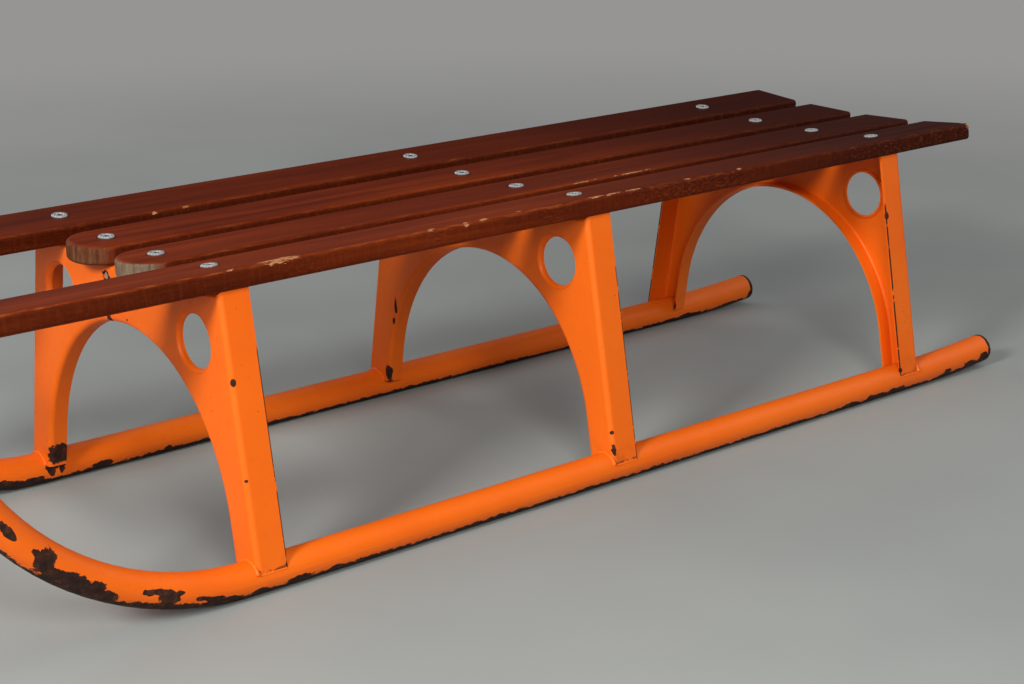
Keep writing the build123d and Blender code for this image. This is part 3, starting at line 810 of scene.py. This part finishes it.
def weld_round_leg(name, row_x, facing, side, material):
    """Weld bead over the top of the runner, where the web of a leg stands on it."""
    maker = bmesh.new()
    web_x = row_x + facing * WEB_AHEAD
    axis = Vector((web_x, side * HALF_TRACK, TUBE_R))
    beside = axis + Vector((0, TUBE_R + BEAD_OFF, 0))
    ring = bead_ring(maker, LEG_BEAD_R, True)
    bmesh.ops.translate(maker, vec=beside, verts=ring)
    bmesh.ops.rotate(maker, cent=axis, matrix=Matrix.Rotation(LEG_BEAD_START, 3, "X"), verts=ring)
    bmesh.ops.spin(
        maker,
        geom=maker.faces[:] + maker.edges[:] + maker.verts[:],
        cent=axis,
        axis=(1, 0, 0),
        angle=LEG_BEAD_TURN,
        steps=40,
        use_duplicate=False,
    )
    # uneven ripples, as a bead laid by hand has
    for vert in maker.verts:
        swell = math.sin(vert.co.y * 1500) * math.sin(vert.co.z * 1700 + vert.co.y * 400)
        vert.co.x += facing * LEG_RIPPLE_AHEAD * swell
        vert.co.z += LEG_RIPPLE_UP * swell
    keep_piece(name, maker, material)


def weld_foot(name, row_x, facing, side, material):
    """Weld bead along the runner, under the outer flange of a leg."""
    maker = bmesh.new()
    near_x = row_x + facing * FOOT_BEAD_FRONT
    far_x = row_x + facing * FOOT_BEAD_BACK
    middle = Vector((near_x, side * FOOT_BEAD_Y, FOOT_BEAD_Z))
    steps = 36
    ring = bead_ring(maker, FOOT_BEAD_R, True)
    bmesh.ops.rotate(maker, cent=(0, 0, 0), matrix=Matrix.Rotation(math.pi / 2, 3, "Y"), verts=ring)
    bmesh.ops.translate(maker, vec=middle, verts=ring)
    bmesh.ops.spin(
        maker,
        geom=maker.faces[:] + maker.edges[:] + maker.verts[:],
        cent=middle,
        axis=(1, 0, 0),
        dvec=((far_x - near_x) / steps, 0, 0),
        angle=0,
        steps=steps,
        use_duplicate=False,
    )
    # thicker and thinner places along the bead
    for vert in maker.verts:
        swell = 0.92 + 0.16 * math.sin(vert.co.x * 2600) * math.sin(vert.co.x * 770 + side)
        vert.co.y = middle.y + (vert.co.y - middle.y) * swell
        vert.co.z = middle.z + (vert.co.z - middle.z) * swell
    keep_piece(name, maker, material)


def weld_cross_tube(name, side, material):
    """Weld bead round the cross tube, following the side of the runner's nose."""
    maker = bmesh.new()
    _, _, tilt = seat_point(1.5)
    end = (HALF_TRACK - CROSS_BEND_Y) / math.cos(tilt)
    low = cross_axis_height(CROSS_BEND_Y)
    centre = Vector((CROSS_X, side * HALF_TRACK, low + end * math.sin(tilt)))
    out = Vector((0, side * math.cos(tilt), math.sin(tilt)))
    ring = bead_ring(maker, CROSS_BEAD_R, False)
    bmesh.ops.translate(maker, vec=centre + Vector((CROSS_R + BEAD_OFF, 0, 0)), verts=ring)
    bmesh.ops.spin(
        maker,
        geom=maker.edges[:] + maker.verts[:],
        cent=centre,
        axis=out,
        angle=2 * math.pi,
        steps=48,
        use_merge=True,
    )
    bmesh.ops.remove_doubles(maker, verts=maker.verts[:], dist=0.00001)
    # the ring is pushed back on to the round side of the runner
    for vert in maker.verts:
        off = min(abs(vert.co.x - CROSS_X), TUBE_R * 0.95)
        back = math.sqrt(TUBE_R ** 2 - off ** 2)
        swell = CROSS_RIPPLE * math.sin(math.atan2(vert.co.z - centre.z, vert.co.x - CROSS_X) * 17)
        vert.co -= out * (back + BEAD_OFF + swell)
    keep_piece(name, maker, material)


def add_welds():
    """Adds a weld bead at each foot of the bridges and each end of the cross tube."""
    weld_paint = plain_paint("orange_weld")
    for row, row_x, facing in BRIDGE_ROWS:
        for side, word in SIDES:
            weld_round_leg(f"weld_leg_{row}_{word}", row_x, facing, side, weld_paint)
            weld_foot(f"weld_foot_{row}_{word}", row_x, facing, side, weld_paint)
    for side, word in SIDES:
        weld_cross_tube(f"weld_cross_{word}", side, weld_paint)


def lay_floor():
    """Plain pale floor that turns into the plain backdrop far from the sled."""
    maker = bmesh.new()
    bmesh.ops.create_grid(maker, x_segments=2, y_segments=2, size=FLOOR_REACH)
    mesh = bpy.data.meshes.new("floor")
    maker.to_mesh(mesh)
    maker.free()
    floor = bpy.data.objects.new("floor", mesh)
    bpy.context.scene.collection.objects.link(floor)
    finish = Finish("floor_pale")
    haze = finish.noise(finish.place, 2.2, 3, 0.5)
    colour = finish.mix(finish.fade(haze, 0.3, 0.7), FLOOR_DEEP, FLOOR_PALE)
    finish.set(Base_Color=colour, Roughness=0.75)
    # the backdrop is there for the eye and for mirrored rays only
    tree = finish.tree
    backdrop = tree.nodes.new("ShaderNodeEmission")
    backdrop.inputs["Color"].default_value = (*BACKDROP, 1)
    rays = tree.nodes.new("ShaderNodeLightPath")
    seen = finish.plus(rays.outputs["Is Camera Ray"], rays.outputs["Is Glossy Ray"])
    seen = finish.calc("ADD", seen, rays.outputs["Is Transmission Ray"], clamp=True)
    x, y, _ = finish.split(finish.place)
    far_off = finish.fade(finish.away(x, y), BACKDROP_FROM, BACKDROP_TO)
    share = tree.nodes.new("ShaderNodeMixShader")
    finish.put(share.inputs[0], finish.times(seen, far_off))
    tree.links.new(finish.shader.outputs["BSDF"], share.inputs[1])
    tree.links.new(backdrop.outputs["Emission"], share.inputs[2])
    tree.links.new(share.outputs["Shader"], finish.output.inputs["Surface"])
    mesh.materials.append(finish.material)


def world_fade(tree, value, low, high, out_low, out_high):
    """Smooth step from one number to another, in the world's nodes."""
    node = tree.nodes.new("ShaderNodeMapRange")
    node.interpolation_type = "SMOOTHSTEP"
    tree.links.new(value, node.inputs["Value"])
    node.inputs["From Min"].default_value = low
    node.inputs["From Max"].default_value = high
    node.inputs["To Min"].default_value = out_low
    node.inputs["To Max"].default_value = out_high
    return node.outputs["Result"]


def world_math(tree, operation, a, b):
    """Sum or product of two values in the world's nodes, kept between 0 and 1."""
    node = tree.nodes.new("ShaderNodeMath")
    node.operation = operation
    node.use_clamp = True
    tree.links.new(a, node.inputs[0])
    tree.links.new(b, node.inputs[1])
    return node.outputs[0]


def light_world():
    """Soft light from above, and the plain backdrop near the horizon."""
    world = bpy.data.worlds.new("soft_studio")
    bpy.context.scene.world = world
    world.use_nodes = True
    tree = world.node_tree
    place = tree.nodes.new("ShaderNodeTexCoord")
    split = tree.nodes.new("ShaderNodeSeparateXYZ")
    tree.links.new(place.outputs["Generated"], split.inputs[0])
    height = split.outputs["Z"]
    sky = tree.nodes["Background"]
    sky.inputs["Color"].default_value = (*SKY, 1)
    tree.links.new(world_fade(tree, height, 0.25, 0.95, 0.04, 0.52), sky.inputs["Strength"])
    # the eye and mirrored rays see the same plain backdrop as on the far floor
    rays = tree.nodes.new("ShaderNodeLightPath")
    seen = world_math(tree, "ADD", rays.outputs["Is Camera Ray"], rays.outputs["Is Glossy Ray"])
    seen = world_math(tree, "ADD", seen, rays.outputs["Is Transmission Ray"])
    low = world_fade(tree, height, 0.20, 0.08, 0.0, 1.0)
    backdrop = tree.nodes.new("ShaderNodeBackground")
    backdrop.inputs["Color"].default_value = (*BACKDROP, 1)
    share = tree.nodes.new("ShaderNodeMixShader")
    tree.links.new(world_math(tree, "MULTIPLY", low, seen), share.inputs[0])
    tree.links.new(sky.outputs["Background"], share.inputs[1])
    tree.links.new(backdrop.outputs["Background"], share.inputs[2])
    tree.links.new(share.outputs["Shader"], tree.nodes["World Output"].inputs["Surface"])


def hang_lamps():
    """Square lamps round the sled, all turned to it."""
    for name, place, size, power, colour in LAMPS:
        lamp = bpy.data.lights.new(name, "AREA")
        lamp.energy = power
        lamp.size = size
        lamp.color = colour
        holder = bpy.data.objects.new(name, lamp)
        holder.location = place
        aim = LAMP_AIM - Vector(place)
        holder.rotation_euler = aim.to_track_quat("-Z", "Y").to_euler()
        bpy.context.scene.collection.objects.link(holder)


def stand_camera():
    """Camera at the photograph's viewing angle."""
    lens = bpy.data.cameras.new("view")
    lens.lens = LENS_MM
    lens.sensor_width = FILM_MM
    lens.clip_start = 0.05
    lens.clip_end = 50
    camera = bpy.data.objects.new("view", lens)
    turn = Matrix((CAMERA_RIGHT, -CAMERA_DOWN, -CAMERA_AHEAD)).transposed()
    camera.matrix_world = Matrix.Translation(CAMERA_PLACE) @ turn.to_4x4()
    bpy.context.scene.collection.objects.link(camera)
    bpy.context.scene.camera = camera


bpy.context.scene.view_settings.view_transform = "Standard"
stand_camera()
finish_solids()
add_welds()
lay_floor()
light_world()
hang_lamps()
